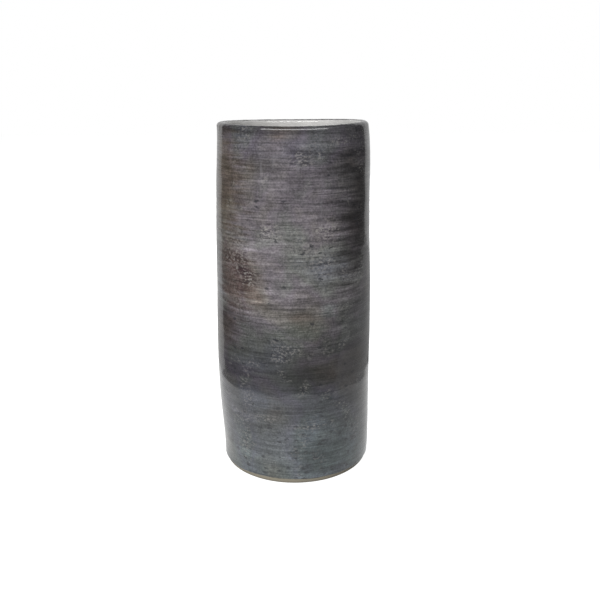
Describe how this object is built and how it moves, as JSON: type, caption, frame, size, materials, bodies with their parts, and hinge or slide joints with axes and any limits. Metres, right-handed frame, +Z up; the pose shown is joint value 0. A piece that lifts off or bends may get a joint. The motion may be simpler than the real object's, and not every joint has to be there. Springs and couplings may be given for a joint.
{
  "type": "cylinder flower vase",
  "caption": "Tall round cylinder vase of glazed fired clay with a rounded lip, a pale glazed inside and a bare foot ring, for standing cut flowers in water.",
  "frame": {"origin": "centre of the foot ring, on the surface the vase stands on", "axes": "+Z up along the vase's axis, out of the mouth; the front faces -Y"},
  "size_m": [0.1778, 0.1778, 0.4],
  "materials": {
    "fired_clay": "bare, fine grit, matte",
    "brushed_glaze": "glossy, brushed in fine level streaks of grey, brown and purple",
    "liner_glaze": "glossy, smooth"
  },
  "bodies": {
    "root": {"base_slab": "fired_clay", "clay_wall": "fired_clay", "outer_glaze": "brushed_glaze", "inner_glaze": "liner_glaze"}
  },
  "joints": []
}
